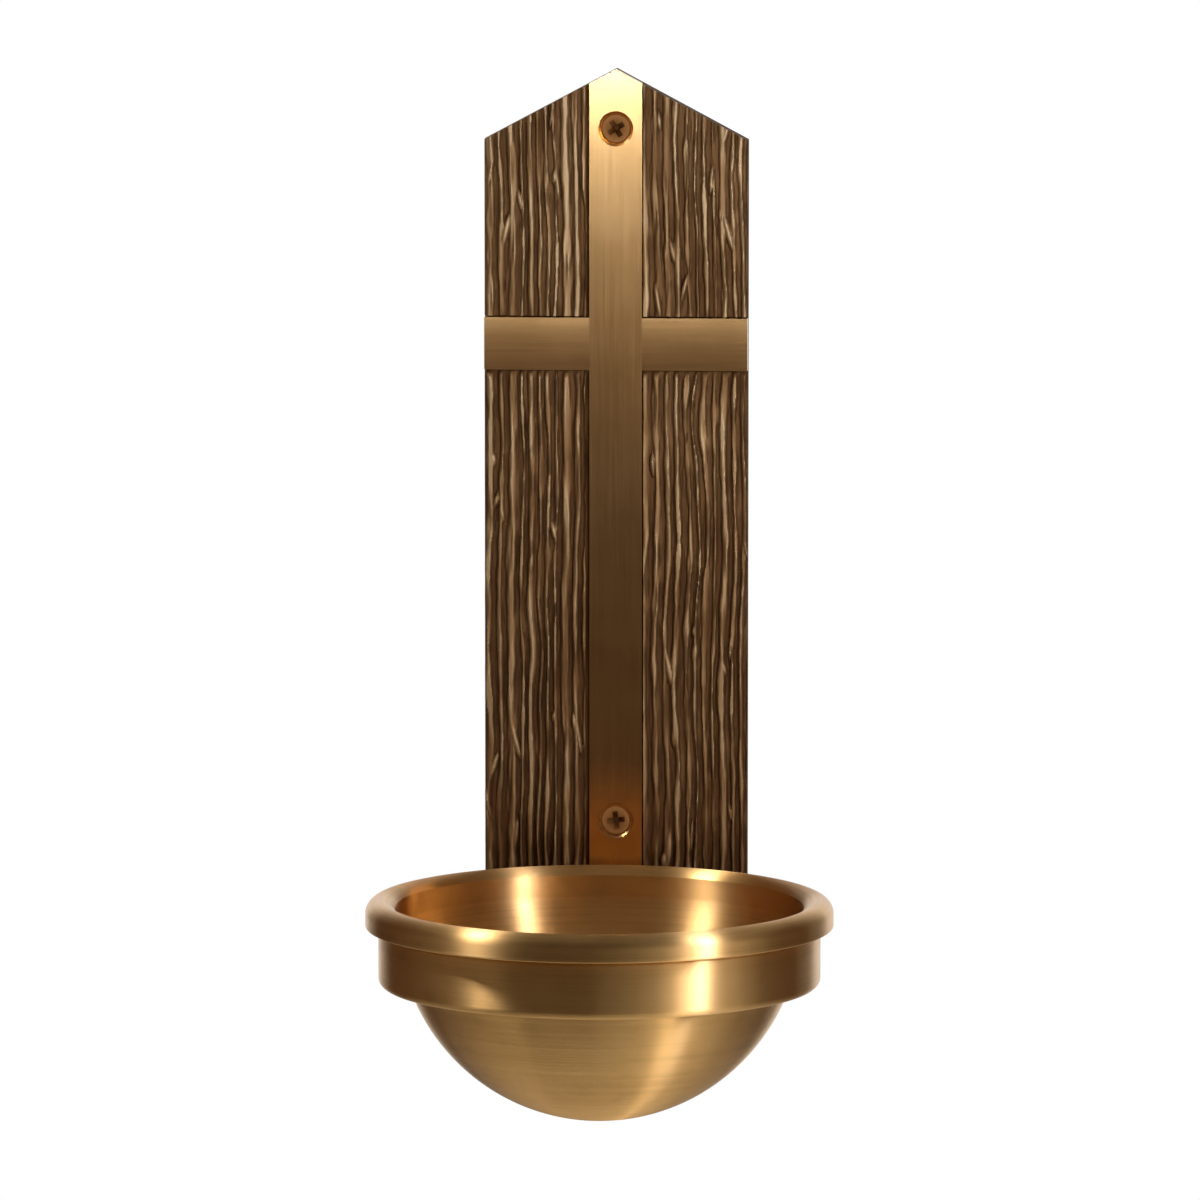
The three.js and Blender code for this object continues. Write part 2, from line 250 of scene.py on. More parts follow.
# Panels: a flag in front of the upright's foot, lamps, light spilled onto the ring, and cards
PANEL_STEP = 3
SPILL_HEIGHTS = (-0.2, -0.125)
PANELS = {
    "flag": Panel((-30, 25), (-0.23, -0.008), 0.2, 0.06, BROWN),
    "lamp_right": Panel((40.2, 44), (-0.08, 0.12), 0.27, 37, BLUISH),
    "lamp_low": Panel((36.5, 39.5), (-0.37, -0.22), 0.27, 10, WARM),
    "spill_2": Panel((2, 8), SPILL_HEIGHTS, 0.195, 0.25, WARM),
    "spill_8": Panel((8, 14), SPILL_HEIGHTS, 0.195, 0.45, WARM),
    "spill_14": Panel((14, 20), SPILL_HEIGHTS, 0.195, 0.75, WARM),
    "spill_20": Panel((20, 25), SPILL_HEIGHTS, 0.195, 1.2, WARM),
    "spill_25": Panel((25, 38), SPILL_HEIGHTS, 0.27, 1.2, WARM),
    "spill_45": Panel((45, 52), SPILL_HEIGHTS, 0.27, 1.6, WARM),
    "spill_52": Panel((52, 62), SPILL_HEIGHTS, 0.27, 1.2, WARM),
    "spill_62": Panel((62, 72), SPILL_HEIGHTS, 0.27, 0.5, WARM),
    "lamp_left": Panel((-82.8, -79.5), (0.87, 1.36), 0.9, 250, WHITE),
    "card_front": Panel((-24, 16), (0.088, 0.1), 0.45, 78, COOL),
    "card_back_right": Panel((126, 150), (-0.5, 0.2), 1.8, 0.28, WARM),
    "card_back_left": Panel((-152, -138), (-0.5, 0.2), 1.8, 0.28, WARM),
}

# Sizes and places that the frame gives
plate_low, plate_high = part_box("back_plate")
upright_low, upright_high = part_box("cross_upright")
arm_low, arm_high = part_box("cross_arm_right")
ring_low, ring_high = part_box("bowl_ring")
bowl_low, bowl_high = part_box("bowl")
half_width = plate_high.x
bar_half = upright_high.x
bar_face = -upright_low.y
bar_back = -upright_high.y
slot_half = bar_half + FIT_GAP
arm_z = (arm_low.z + arm_high.z) / 2
grain_bed = bar_face - GRAIN_SETBACK - GRAIN_DEPTH
axis = Vector(((bowl_low.x + bowl_high.x) / 2, (bowl_low.y + bowl_high.y) / 2, 0))
rim = axis + Vector((0, 0, bowl_high.z))
lip_radius = (bowl_high.x - bowl_low.x) / 2
ring_outer = (ring_high.x - ring_low.x) / 2


def gable_top(x):
    """Height of the gabled outline over x."""
    return plate_high.z - GABLE_RISE * np.abs(x) / half_width


# Node networks
class Net:
    """A material or world with its nodes added one by one."""

    def __init__(self, owner):
        owner.use_nodes = True
        self.owner = owner
        self.nodes = owner.node_tree.nodes
        self.links = owner.node_tree.links
        self.nodes.clear()

    def add(self, kind, values=None, **settings):
        node = self.nodes.new(kind)
        for name, value in settings.items():
            setattr(node, name, value)
        for name, value in (values or {}).items():
            if isinstance(value, bpy.types.NodeSocket):
                self.links.new(value, node.inputs[name])
            else:
                node.inputs[name].default_value = value
        return node

    def place(self):
        return self.add("ShaderNodeTexCoord").outputs["Object"]

    def split(self, vector):
        return self.add("ShaderNodeSeparateXYZ", {"Vector": vector}).outputs

    def joined(self, **parts):
        return self.add("ShaderNodeCombineXYZ", parts).outputs["Vector"]

    def axis_distance(self, parts):
        """Distance of a place, given by its parts, from the Z axis."""
        flat = self.joined(X=parts["X"], Y=parts["Y"])
        return self.add("ShaderNodeVectorMath", {0: flat}, operation="LENGTH").outputs["Value"]

    def noise(self, vector, kind):
        scaled = self.add("ShaderNodeMapping", {"Vector": vector, "Scale": kind.scale}).outputs["Vector"]
        values = {"Vector": scaled, "Scale": 1, "Detail": kind.detail, "Roughness": kind.roughness}
        return self.add("ShaderNodeTexNoise", values).outputs["Fac"]

    def math(self, operation, first, second):
        return self.add("ShaderNodeMath", {0: first, 1: second}, operation=operation).outputs[0]

    def weighted(self, first, second):
        """Sum of two noises, given as (value, kind), each weighted by its share."""
        terms = [self.math("MULTIPLY", value, kind.share) for value, kind in (first, second)]
        return self.math("ADD", *terms)

    def spread(self, value, span, to):
        """The value moved from one span to another, and kept inside it."""
        ends = {"From Min": span[0], "From Max": span[1], "To Min": to[0], "To Max": to[1]}
        return self.add("ShaderNodeMapRange", {"Value": value, **ends}).outputs["Result"]

    def ramp(self, value, stops):
        node = self.add("ShaderNodeValToRGB", {"Fac": value})
        elements = node.color_ramp.elements
        while len(elements) < len(stops):
            elements.new(1)
        for element, (position, colour) in zip(elements, stops):
            element.position = position
            element.color = (*colour, 1)
        return node.outputs["Color"]

    def bump(self, height, size, normal=None):
        values = {"Height": height, **size}
        if normal:
            values["Normal"] = normal
        return self.add("ShaderNodeBump", values).outputs["Normal"]

    def surface(self, values):
        shader = self.add("ShaderNodeBsdfPrincipled", values)
        self.add("ShaderNodeOutputMaterial", {"Surface": shader.outputs["BSDF"]})
        return self.owner

    def light(self, colour, radiance):
        glow = self.add("ShaderNodeEmission", {"Color": (*colour, 1), "Strength": radiance})
        self.add("ShaderNodeOutputMaterial", {"Surface": glow.outputs["Emission"]})
        return self.owner


def material(name):
    return Net(bpy.data.materials.new(name))


def brushed_bronze(name, brush):
    """Satin bronze with fine scratches. Highlights are smeared along X."""
    net = material(name)
    place = net.place()
    scratches = net.noise(place, brush)
    clouds = net.noise(place, BRUSHED_CLOUDS)
    tone = net.weighted((scratches, brush), (clouds, BRUSHED_CLOUDS))
    return net.surface({
        "Base Color": net.ramp(tone, BRUSHED_TONES),
        "Metallic": 1,
        "Roughness": net.spread(scratches, NOISE_SPAN, BRUSHED_ROUGHNESS),
        "Anisotropic": BRUSHED_STRETCH,
        "Tangent": net.joined(X=1),
        "Normal": net.bump(scratches, BRUSHED_BUMP),
    })


def turned_bronze(name):
    """Satin bronze with fine tool lines round the vertical axis of the piece."""
    net = material(name)
    place = net.place()
    parts = net.split(place)
    profile = net.joined(X=net.axis_distance(parts), Z=parts["Z"])
    lines = net.noise(profile, TOOL_LINES)
    bands = net.noise(profile, TOOL_BANDS)
    clouds = net.noise(place, TURNED_CLOUDS)
    fine = net.weighted((lines, TOOL_LINES), (bands, TOOL_BANDS))
    tone = net.math("ADD", fine, net.math("MULTIPLY", clouds, TURNED_CLOUDS.share))
    tangent = net.add("ShaderNodeTangent", direction_type="RADIAL", axis="Z").outputs["Tangent"]
    return net.surface({
        "Base Color": net.ramp(tone, TURNED_TONES),
        "Metallic": 1,
        "Roughness": net.spread(lines, NOISE_SPAN, TURNED_ROUGHNESS),
        "Anisotropic": TURNED_STRETCH,
        "Anisotropic Rotation": QUARTER_TURN,
        "Tangent": tangent,
        "Normal": net.bump(lines, TURNED_BUMP),
    })


def cast_bronze(name):
    """Dark cast bronze: oxidised in the valleys of the grain, dull tan on the ridges, and darkened towards
    the foot as painted shade.
    """
    net = material(name)
    place = net.place()
    parts = net.split(place)
    relief = net.spread(parts["Y"], (-grain_bed, -grain_bed - GRAIN_DEPTH), (0, 1))
    stains = net.noise(place, CAST_STREAKS)
    patches = net.noise(place, CAST_PATCHES)
    grit = net.noise(place, CAST_GRIT)
    uneven = net.weighted((stains, CAST_STREAKS), (patches, CAST_PATCHES))
    # Painted shade: the tone darkens towards the foot of the plate
    foot_shade = net.spread(parts["Z"], (plate_low.z, plate_high.z), CAST_FOOT_SHADE)
    tone = net.math("ADD", relief, net.math("SUBTRACT", uneven, foot_shade))
    normal = net.bump(stains, STREAK_BUMP)
    return net.surface({
        "Base Color": net.ramp(tone, CAST_TONES),
        "Metallic": CAST_METALLIC,
        "Roughness": net.spread(tone, (0, 1), CAST_ROUGHNESS),
        "Normal": net.bump(grit, GRIT_BUMP, normal),
    })


def screw_bronze(name):
    """Plain bronze screw, darker than the bars, and darkened towards its recess as painted shade."""
    net = material(name)
    place = net.place()
    clouds = net.noise(place, SCREW_CLOUDS)
    grit = net.noise(place, SCREW_GRIT)
    # Painted shade: the head darkens towards its recess
    shade_lift = net.spread(net.axis_distance(net.split(place)), SCREW_SHADE_RADII, SCREW_SHADE_LEVELS)
    tone = net.math("ADD", shade_lift, net.math("MULTIPLY", clouds, SCREW_CLOUDS.share))
    return net.surface({
        "Base Color": net.ramp(tone, SCREW_TONES),
        "Metallic": 1,
        "Roughness": net.spread(clouds, NOISE_SPAN, SCREW_ROUGHNESS),
        "Normal": net.bump(grit, SCREW_BUMP),
    })


# Meshes
def loose_object(name, bm):
    """An object made of the mesh, linked to the scene."""
    mesh = bpy.data.meshes.new(name)
    bm.to_mesh(mesh)
    bm.free()
    obj = bpy.data.objects.new(name, mesh)
    bpy.context.scene.collection.objects.link(obj)
    return obj


def carve(bm, cutter):
    """The mesh with the cutter's volume taken away."""
    body = loose_object("carved", bm)
    tool = loose_object("cutter", cutter)
    cut = body.modifiers.new("carve", "BOOLEAN")
    cut.object = tool
    cut.operation = "DIFFERENCE"
    cut.solver = "EXACT"
    result = bmesh.new()
    result.from_object(body, bpy.context.evaluated_depsgraph_get())
    bpy.data.objects.remove(body)
    bpy.data.objects.remove(tool)
    return result


def piece(name, bm, body, finish, origin=Vector()):
    """Makes a finished piece that stands for the solid of its own name."""
    bmesh.ops.remove_doubles(bm, verts=bm.verts, dist=SAME_PLACE)
    bmesh.ops.recalc_face_normals(bm, faces=bm.faces)
    bmesh.ops.translate(bm, verts=bm.verts, vec=-origin)
    for face in bm.faces:
        face.smooth = True
    for edge in bm.edges:
        edge.smooth = edge.calc_face_angle(0) < SHARP_ANGLE
    obj = loose_object(f"{name}.look", bm)
    obj.location = origin
    obj.data.materials.append(finish)
    flat = obj.modifiers.new("flat_faces", "WEIGHTED_NORMAL")
    flat.keep_sharp = True
    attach(obj, body)
    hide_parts(name)
    return obj


def turned(profile, sides, closed=False):
    """A profile of (radius, height) points turned about Z. A point on the axis becomes a pole."""
    bm = bmesh.new()
    rings = []
    for radius, height in profile:
        turns = 1 if radius < SAME_PLACE else sides
        angles = [2 * math.pi * i / sides for i in range(turns)]
        rings.append([bm.verts.new((radius * math.cos(a), radius * math.sin(a), height)) for a in angles])
    following = rings[1:] + (rings[:1] if closed else [])
    for low, high in zip(rings, following):
        for i in range(sides if len(low) + len(high) > 2 else 0):
            j = (i + 1) % sides
            corners = [low[i % len(low)], low[j % len(low)], high[j % len(high)], high[i % len(high)]]
            bm.faces.new(dict.fromkeys(corners))
    return bm


def arc(centre_r, centre_z, radius, start, end, steps):
    """Profile points along an arc, both ends included."""
    angles = [start + (end - start) * i / steps for i in range(steps + 1)]
    return [(centre_r + radius * math.cos(a), centre_z + radius * math.sin(a)) for a in angles]


# Screws
def screw_profile(size, clearance=0.0, above=0.0, below=0.0):
    """Half section of a countersunk screw, head up, or of the hole that it needs."""
    head = size["head"] / 2 + clearance
    shank = size["shank"] / 2 + clearance
    cone_foot = (shank - head) / math.tan(COUNTERSINK_ANGLE)
    end = -size["length"] - below
    tip = max(shank - size["taper"], 0)
    return [(0, end), (tip, end), (shank, end + size["point"]), (shank, cone_foot), (head, 0),
            (head, above), (0, above)]


def seat(place, facing_room):
    """Matrix that puts a screw modelled head up at its seat."""
    turn = math.pi / 2 if facing_room else -math.pi / 2
    return Matrix.Translation(place) @ Matrix.Rotation(turn, 4, "X")


def screw_size(node, shank, point, taper, facing_room):
    """Sizes of a screw, as far as its solid gives them, and the matrix of its seat."""
    low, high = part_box(node)
    middle = (low + high) / 2
    face = low.y if facing_room else high.y
    size = {"head": high.x - low.x, "shank": shank, "length": high.y - low.y, "point": point, "taper": taper}
    return size, seat(Vector((middle.x, face, middle.z)), facing_room)


screws = {}
for side in ("upper", "lower"):
    node = f"wall_screw_{side}"
    screws[node] = screw_size(node, WALL_SHANK, WALL_POINT, WALL_SHANK / 2, True)
for side in ("upper", "lower"):
    node = f"ring_screw_{side}"
    screws[node] = screw_size(node, MACHINE_SHANK, MACHINE_POINT, MACHINE_POINT, True)
for side in ("left", "right"):
    node = f"arm_screw_{side}"
    screws[node] = screw_size(node, MACHINE_SHANK, MACHINE_POINT, MACHINE_POINT, False)


def drilled(bm, *names):
    """The mesh with the holes of the named screws."""
    bmesh.ops.recalc_face_normals(bm, faces=bm.faces)
    for name in names:
        size, place = screws[name]
        hole = turned(screw_profile(size, SCREW_FIT, size["head"], DRILL_PAST), SCREW_SIDES)
        bmesh.ops.transform(hole, matrix=place, verts=hole.verts)
        bmesh.ops.recalc_face_normals(hole, faces=hole.faces)
        bm = carve(bm, hole)
    return bm


def recess_wing(head, turn):
    """One wing of a cross recess: wide at the head's face, narrow at its foot."""
    width = head * RECESS_WIDTH / 2
    span = head * RECESS_SPAN / 2
    levels = [(span, FIT_GAP), (span, 0), (width / 2, -head * RECESS_DEPTH)]
    bm = bmesh.new()
    loops = []
    for reach, height in levels:
        corners = [(-reach, -width), (reach, -width), (reach, width), (-reach, width)]
        loops.append([bm.verts.new((x, y, height)) for x, y in corners])
    bm.faces.new(loops[0])
    bm.faces.new(loops[-1])
    for upper, lower in zip(loops, loops[1:]):
        for i in range(len(upper)):
            j = (i + 1) % len(upper)
            bm.faces.new([upper[i], upper[j], lower[j], lower[i]])
    bmesh.ops.recalc_face_normals(bm, faces=bm.faces)
    bmesh.ops.rotate(bm, verts=bm.verts, matrix=Matrix.Rotation(turn, 3, "Z"))
    return bm


def screw(name, thread, turn, finish):
    """A screw with its head a little below the face, a cross recess turned by an angle, and a cut thread."""
    size, place = screws[name]
    head = size["head"] / 2
    end, tip, _, shank_top, *_ = screw_profile(size)
    start = size["point"] - size["length"]
    run = -thread["start"] - start
    rows = max(int(run / thread["pitch"] * THREAD_STEPS), 1)
    threaded = [(size["shank"] / 2, start + run * i / rows) for i in range(rows + 1)]
    sink = size["head"] * HEAD_SINK
    shoulder = head - (sink + HEAD_EDGE) * math.tan(COUNTERSINK_ANGLE)
    head_edge = [(shoulder, -sink - HEAD_EDGE), (shoulder - HEAD_EDGE, -sink), (0, -sink)]
    bm = turned([end, tip] + threaded + [shank_top] + head_edge, SCREW_SIDES)
    for vert in bm.verts:
        reach = math.hypot(vert.co.x, vert.co.y)
        if vert.co.z < -thread["start"] + SAME_PLACE and reach > SAME_PLACE:
            phase = vert.co.z / thread["pitch"] - math.atan2(vert.co.y, vert.co.x) / (2 * math.pi)
            groove = thread["depth"] * (1 + math.cos(2 * math.pi * phase)) / 2
            groove = min(groove, reach * GROOVE_LIMIT)
            vert.co.x *= 1 - groove / reach
            vert.co.y *= 1 - groove / reach
    for angle in (turn, turn + math.pi / 2):
        wing = recess_wing(size["head"], angle)
        bmesh.ops.translate(wing, verts=wing.verts, vec=(0, 0, -sink))
        bm = carve(bm, wing)
    obj = piece(name, bm, "wall_bracket", finish)
    obj.matrix_world = place
    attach(obj, "wall_bracket")
    return obj


# Back plate
def wave(rng, z, lengths):
    """A slow random wave along z, between about -1 and 1."""
    waves = [np.sin(2 * np.pi * z / length + rng.uniform(0, 2 * np.pi)) for length in lengths]
    return sum(waves) / len(lengths)


def eased(share):
    """Smooth step between 0 and 1."""
    return share * share * (3 - 2 * share)


def streaks(rng, x, z, size):
    """Smooth noise drawn out along z, each column of it shifted by chance."""
    across = (x - x.min()) / size["width"]
    along = (z - z.min()) / size["length"]
    left = np.floor(across).astype(int)
    shift = rng.uniform(0, 1, left.max() + 2)
    values = rng.uniform(-1, 1, (len(shift), int(along.max()) + 3))

    def column(index):
        height = along + shift[index]
        foot = np.floor(height).astype(int)
        share = eased(height - foot)
        return values[index, foot] * (1 - share) + values[index, foot + 1] * share

    share = eased(across - left)
    return size["height"] * (column(left) * (1 - share) + column(left + 1) * share)


def woodgrain(x, z):
    """Height of the woodgrain, from 0 in the valleys to 1 on the ridges."""
    rng = np.random.default_rng(GRAIN_SEED)

    def somewhere():
        return rng.uniform(-half_width, half_width), rng.uniform(plate_low.z, plate_high.z)

    bent = x + SHARED_WANDER * wave(rng, z + SHARED_SLANT * x, SHARED_LENGTHS)
    for _ in range(BENDS):
        middle_x, middle_z = somewhere()
        reach = ((x - middle_x) / BEND_SIZE[0]) ** 2 + ((z - middle_z) / BEND_SIZE[1]) ** 2
        bent += rng.uniform(-BEND_PUSH, BEND_PUSH) * np.exp(-reach)
    bent += streaks(rng, x, z, RAGGED)
    relief = np.zeros_like(x)
    edge = -half_width - RIDGE_PITCH[1]
    while edge < half_width + RIDGE_PITCH[1]:
        pitch = rng.uniform(*RIDGE_PITCH)
        groove = rng.uniform(*RIDGE_GROOVE) * (1 + GROOVE_CHANGE * wave(rng, z, GROOVE_LENGTHS))
        middle = edge + pitch / 2 + RIDGE_WANDER * wave(rng, z, WANDER_LENGTHS)
        across = np.clip(2 * np.abs(bent - middle) / (pitch * (1 - groove)), 0, 1)
        relief = np.maximum(relief, rng.uniform(*RIDGE_LEVEL) * (1 - across ** RIDGE_SHOULDER))
        edge += pitch
    relief = relief * (1 + streaks(rng, bent, z, PATCHY)) + streaks(rng, bent, z, FIBROUS)
    for _ in range(SPLINTERS):
        middle_x, middle_z = somewhere()
        along = (z - middle_z) / rng.uniform(*SPLINTER_LENGTH)
        slant = rng.uniform(-SPLINTER_SLANT, SPLINTER_SLANT)
        across = (bent - middle_x - slant * (z - middle_z)) / rng.uniform(*SPLINTER_WIDTH)
        relief = np.maximum(relief, np.clip(1 - along ** 2 - across ** 2, 0, 1) ** 0.5)
    # Painted shade: the grain is lowered to the left of the upright and under the arms, so its valley colour
    # darkens there
    beside = np.where(x < 0, np.clip((-slot_half - x) / GRAIN_SHADE_DIP, 0, 1), 1)
    under = np.where(z < arm_z, np.clip((arm_z - slot_half - z) / GRAIN_SHADE_DIP, 0, 1), 1)
    return VALLEY_LEVEL + (1 - VALLEY_LEVEL) * np.clip(relief, 0, 1) * beside * under


def back_plate(finish):
    """The plate as a closed mesh: a carved front crossed by the channels, straight sides and a flat back."""
    columns = round((half_width - slot_half) / GRAIN_COLUMN)
    field = np.linspace(slot_half, half_width, columns)
    slot_columns = [-slot_half, 0, slot_half]
    xs = np.concatenate([-field[::-1], slot_columns, field])
    low_edge = arm_z - slot_half
    high_edge = arm_z + slot_half
    below = np.linspace(plate_low.z, low_edge, round((low_edge - plate_low.z) / GRAIN_ROW))
    above = np.linspace(0, 1, round((plate_high.z - high_edge) / GRAIN_ROW))
    slot_rows = [low_edge, high_edge]
    lower = np.repeat(np.concatenate([below, slot_rows])[:, None], len(xs), axis=1)
    upper = high_edge + above[:, None] * (gable_top(xs) - high_edge)[None, :]
    z = np.concatenate([lower, upper])
    x = np.repeat(xs[None, :], len(z), axis=0)
    depth = grain_bed + GRAIN_DEPTH * woodgrain(x, z)
    channel = np.zeros(z.shape, bool)
    channel[:, columns:columns + len(slot_columns)] = True
    channel[len(below):len(below) + len(slot_rows), :] = True
    depth[channel] = CHANNEL_FLOOR
    bm = bmesh.new()
    rows, cols = z.shape
    front = [[bm.verts.new((x[r, c], -depth[r, c], z[r, c])) for c in range(cols)] for r in range(rows)]
    for r in range(rows - 1):
        for c in range(cols - 1):
            bm.faces.new([front[r][c], front[r][c + 1], front[r + 1][c + 1], front[r + 1][c]])
    rim_loop = front[0][:-1] + [row[-1] for row in front[:-1]]
    rim_loop += front[-1][:0:-1] + [row[0] for row in front[:0:-1]]
    shrink = 1 - BACK_CHAMFER / half_width
    middle_z = (plate_low.z + plate_high.z) / 2
    long_shrink = 1 - BACK_CHAMFER / (plate_high.z - middle_z)
    side_loop = [bm.verts.new((v.co.x, -BACK_CHAMFER, v.co.z)) for v in rim_loop]
    back_loop = []
    for vert in rim_loop:
        height = middle_z + (vert.co.z - middle_z) * long_shrink
        back_loop.append(bm.verts.new((vert.co.x * shrink, 0, height)))
    for outer, inner in ((rim_loop, side_loop), (side_loop, back_loop)):
        for i in range(len(outer)):
            j = (i + 1) % len(outer)
            bm.faces.new([outer[j], outer[i], inner[i], inner[j]])
    bmesh.ops.remove_doubles(bm, verts=bm.verts, dist=SAME_PLACE)
    bmesh.ops.holes_fill(bm, edges=[e for e in bm.edges if e.is_boundary])
    bm = drilled(bm, *screws)
    return piece("back_plate", bm, "wall_bracket", finish)


# Cross bars
def front_points(crown):
    """Points across the front face of a bar, as (across, depth)."""
    shares = [2 * i / CROWN_STEPS - 1 for i in range(CROWN_STEPS + 1)]
    return [(bar_half * s, bar_face - crown * s * s) for s in shares]


def bar(section, stations, place):
    """A bar from its section, with a ring of points at each station along it and its first end closed."""
    bm = bmesh.new()
    rings = [[bm.verts.new(place(s, across, depth)) for across, depth in section] for s in stations]
    for low, high in zip(rings, rings[1:]):
        for i in range(len(section)):
            j = (i + 1) % len(section)
            bm.faces.new([low[i], low[j], high[j], high[i]])
    bm.faces.new(rings[0])
    return bm, rings[-1]


def cross_upright(finish):
    """The upright, cut to the gable at its top and drilled for the wall and ring screws."""
    front = front_points(0)
    section = front + [(bar_half, bar_back), (0, bar_back), (-bar_half, bar_back)]

    def place(share, across, depth):
        return Vector((across, -depth, upright_low.z + share * (gable_top(across) - upright_low.z)))

    bm, top = bar(section, [0, 1], place)
    front_peak = len(front) // 2
    back_peak = len(front) + 1
    bm.faces.new(top[front_peak:back_peak + 1])
    bm.faces.new(top[:front_peak + 1] + top[back_peak:])
    bm = drilled(bm, "wall_screw_upper", "wall_screw_lower", "ring_screw_upper", "ring_screw_lower")
    return piece("cross_upright", bm, "wall_bracket", finish)


def cross_arm(name, direction, finish):
    """An arm between the upright and the plate's edge, with a slight crown."""
    section = front_points(ARM_CROWN) + [(bar_half, bar_back), (-bar_half, bar_back)]

    def place(station, across, depth):
        return Vector((direction * station, -depth, arm_z + across))

    bm, end = bar(section, [bar_half + ARM_JOINT, half_width], place)
    bm.faces.new(end)
    bm = drilled(bm, name.replace("cross_arm", "arm_screw"))
    return piece(name, bm, "wall_bracket", finish)


# Turned pieces
def flare(sphere_radius, top_radius, steps):
    """Side of the bowl between its hemisphere and the straight stretch under the lip, listed upwards."""
    start = Vector((sphere_radius * math.cos(FLARE_ANGLE),
                    -BOWL_CENTRE_BELOW_RIM - sphere_radius * math.sin(FLARE_ANGLE)))
    bend = Vector((top_radius, start.y + (top_radius - start.x) / math.tan(FLARE_ANGLE)))
    end = Vector((top_radius, -LIP_HEIGHT))
    shares = [i / steps for i in range(steps + 1)]
    return [tuple((1 - t) ** 2 * start + 2 * t * (1 - t) * bend + t * t * end) for t in shares]


def bowl(finish):
    """The bowl turned in one piece with its lip, which falls away inwards from its crest."""
    inner_radius = BOWL_RADIUS - BOWL_WALL
    seat_radius = BOWL_RADIUS + BOWL_FLARE
    mouth_radius = seat_radius - BOWL_WALL
    crest = lip_radius - LIP_CROWN
    run = crest - mouth_radius
    crown = (run * run + MOUTH_DROP * MOUTH_DROP) / (2 * MOUTH_DROP)
    crown_turn = math.asin(run / crown)
    bottom = -math.pi / 2
    up = math.pi / 2
    profile = arc(0, -BOWL_CENTRE_BELOW_RIM, BOWL_RADIUS, bottom, -FLARE_ANGLE, SPHERE_STEPS)[:-1]
    profile += flare(BOWL_RADIUS, seat_radius, ROUND_STEPS)
    profile += arc(lip_radius - LIP_CORNER, LIP_CORNER - LIP_HEIGHT, LIP_CORNER, bottom, 0, ROUND_STEPS // 2)
    profile += arc(crest, -LIP_CROWN, LIP_CROWN, 0, up, ROUND_STEPS)[:-1]
    profile += arc(crest, -crown, crown, up, up + crown_turn, ROUND_STEPS)
    profile += flare(inner_radius, mouth_radius, ROUND_STEPS)[::-1]
    profile += arc(0, -BOWL_CENTRE_BELOW_RIM, inner_radius, -FLARE_ANGLE, bottom, SPHERE_STEPS)[1:]
    bm = turned([(r if r > SAME_PLACE else 0, z) for r, z in profile], TURNED_SIDES)
    bmesh.ops.translate(bm, verts=bm.verts, vec=rim)
    return piece("bowl", bm, "bowl", finish, rim)


def bowl_ring(finish):
    """The ring, rounded at its outer edges and drilled for its two screws."""
    inner = ring_outer - RING_WALL
    low_r = ring_outer - RING_EDGE
    low_z = ring_low.z + RING_EDGE
    top_r = ring_outer - RING_TOP_EDGE
    top_z = ring_high.z - RING_TOP_EDGE
    profile = [(inner, ring_low.z)]
    profile += arc(low_r, low_z, RING_EDGE, -math.pi / 2, 0, ROUND_STEPS)
    profile += arc(top_r, top_z, RING_TOP_EDGE, 0, math.pi / 2, ROUND_STEPS)
    profile += [(inner, ring_high.z)]
    bm = turned(profile, TURNED_SIDES, closed=True)
    bmesh.ops.translate(bm, verts=bm.verts, vec=axis)
    bm = drilled(bm, "ring_screw_upper", "ring_screw_lower")
    return piece("bowl_ring", bm, "wall_bracket", finish, axis)


# Studio
def add_world():
    """White where it is seen or reflected, dimmer as a light on rough surfaces."""
    net = Net(bpy.data.worlds.new("studio"))
    path = net.add("ShaderNodeLightPath").outputs
    seen = net.math("MAXIMUM", path["Is Camera Ray"], path["Is Glossy Ray"])
    seen = net.math("MAXIMUM", seen, path["Is Transmission Ray"])
    strength = net.spread(seen, (0, 1), (AMBIENT, 1))
    background = net.add("ShaderNodeBackground", {"Color": (1, 1, 1, 1), "Strength": strength})
    net.add("ShaderNodeOutputWorld", {"Surface": background.outputs["Background"]})
    bpy.context.scene.world = net.owner


def floor_finish(name):
    """Pale floor that is hardly uneven and glows less towards the back."""
    net = material(name)
    place = net.place()
    dim = tuple(MOTTLE_DIM * c for c in FLOOR_COLOUR)
    tones = list(zip(NOISE_SPAN, (dim, FLOOR_COLOUR)))
    return net.surface({
        "Base Color": net.ramp(net.noise(place, FLOOR_MOTTLE), tones),
        "Roughness": FLOOR_ROUGHNESS,
        "Emission Color": (*FLOOR_COLOUR, 1),
        "Emission Strength": net.spread(net.split(place)["Y"], FLOOR_FADE, FLOOR_GLOW),
    })


def ceiling_finish(name):
    """A light whose radiance grows towards the back."""
    net = material(name)
    return net.light(WARM, net.spread(net.split(net.place())["Y"], CEILING_FADE, CEILING_GLOW))


def staged(name, bm, finish, height=0):
    """A piece of the studio, which the camera does not see."""
    obj = loose_object(name, bm)
    obj.location.z = height
    obj.data.materials.append(finish)
    obj.visible_camera = False


def disc(name, radius, height, finish):
    """A level disc about the origin's vertical axis."""
    bm = bmesh.new()
    bmesh.ops.create_circle(bm, cap_ends=True, segments=DISC_SIDES, radius=radius)
    staged(name, bm, finish, height)


def curved_panel(name, panel):
    """A panel with a light of even radiance."""
    first, last = panel.azimuth
    steps = max(round(abs(last - first) / PANEL_STEP), 1)
    bm = bmesh.new()
    columns = []
    for i in range(steps + 1):
        angle = math.radians(first + (last - first) * i / steps)
        foot = (panel.distance * math.sin(angle), -panel.distance * math.cos(angle))
        columns.append([bm.verts.new((*foot, height)) for height in panel.heights])
    for left, right in zip(columns, columns[1:]):
        bm.faces.new([left[0], left[1], right[1], right[0]])
    staged(name, bm, material(f"{name}_glow").light(panel.colour, panel.radiance))


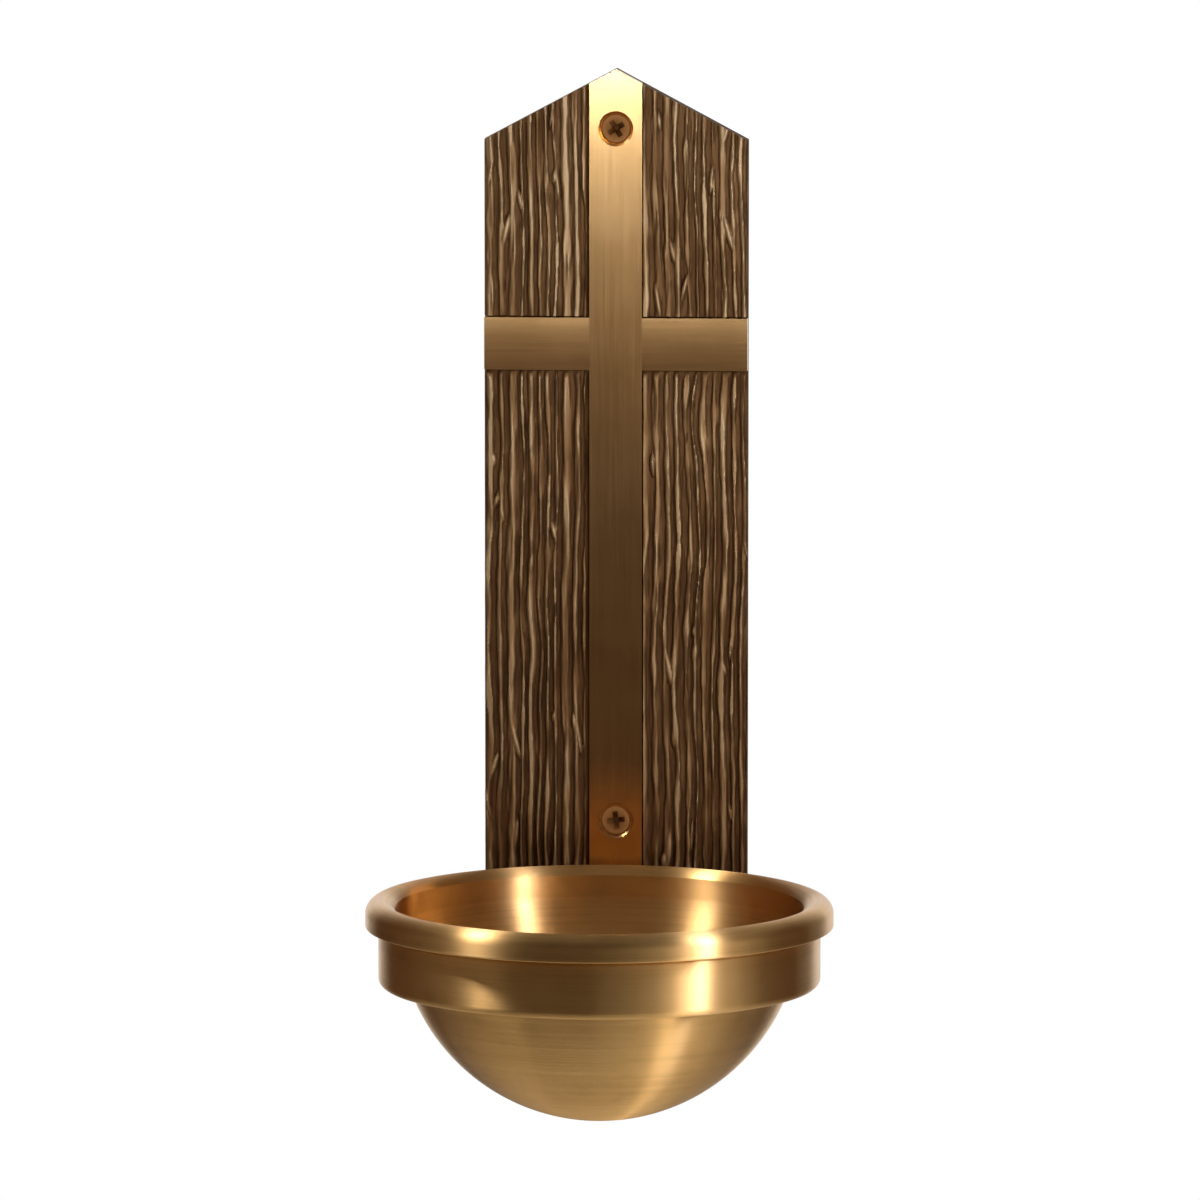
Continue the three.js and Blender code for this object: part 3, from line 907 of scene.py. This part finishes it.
def add_studio():
    """Pale floor and ceiling, a dark surround that is open behind the wall, and the panels in it."""
    floor_z = bowl_low.z - FLOOR_DROP
    disc("floor", FLOOR_RADIUS, floor_z, floor_finish("pale_floor"))
    around = (-SURROUND_HALF_TURN, SURROUND_HALF_TURN)
    heights = (floor_z, SURROUND_TOP)
    curved_panel("surround", Panel(around, heights, SURROUND_RADIUS, SURROUND_GLOW, BROWN))
    for name, panel in PANELS.items():
        curved_panel(name, panel)
    disc("ceiling", SURROUND_RADIUS, CEILING_HEIGHT, ceiling_finish("pale_ceiling"))


def add_camera():
    """The photograph's view. The camera is turned so that the rim's middle falls on its pixel."""
    data = bpy.data.cameras.new("camera")
    data.sensor_width = SENSOR_WIDTH
    data.lens = FOCAL_PIXELS * SENSOR_WIDTH / PHOTO_SIZE
    camera = bpy.data.objects.new("camera", data)
    reach = CAMERA_DISTANCE * math.cos(CAMERA_ELEVATION)
    camera.location = rim + Vector((
        reach * math.sin(CAMERA_AZIMUTH),
        -reach * math.cos(CAMERA_AZIMUTH),
        CAMERA_DISTANCE * math.sin(CAMERA_ELEVATION),
    ))
    pitch = CAMERA_ELEVATION - math.atan((RIM_PIXEL[1] - PHOTO_SIZE / 2) / FOCAL_PIXELS)
    yaw = CAMERA_AZIMUTH - math.atan((RIM_PIXEL[0] - PHOTO_SIZE / 2) / FOCAL_PIXELS)
    camera.rotation_euler = (math.pi / 2 - pitch, 0, yaw)
    bpy.context.scene.collection.objects.link(camera)
    bpy.context.scene.camera = camera


upright_finish = brushed_bronze("satin_bronze_upright", UPRIGHT_BRUSH)
arm_finish = brushed_bronze("satin_bronze_arm", ARM_BRUSH)
turned_finish = turned_bronze("satin_bronze_turned")
screw_finish = screw_bronze("screw_bronze")

back_plate(cast_bronze("dark_bronze"))
cross_upright(upright_finish)
cross_arm("cross_arm_left", -1, arm_finish)
cross_arm("cross_arm_right", 1, arm_finish)
bowl_ring(turned_finish)
bowl(turned_finish)
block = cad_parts["standoff_block"]
block.data.materials.clear()
block.data.materials.append(upright_finish)
rounded = block.modifiers.new("rounded_edges", "BEVEL")
rounded.width = BLOCK_EDGE
rounded.segments = BLOCK_EDGE_STEPS
screw("wall_screw_upper", WOOD_THREAD, UPPER_TURN, screw_finish)
screw("wall_screw_lower", WOOD_THREAD, LOWER_TURN, screw_finish)
for side in ("upper", "lower"):
    screw(f"ring_screw_{side}", MACHINE_THREAD, RING_SCREW_TURN, screw_finish)
for side in ("left", "right"):
    screw(f"arm_screw_{side}", MACHINE_THREAD, ARM_SCREW_TURN, screw_finish)

add_world()
add_studio()
add_camera()
bpy.context.scene.view_settings.view_transform = "Standard"
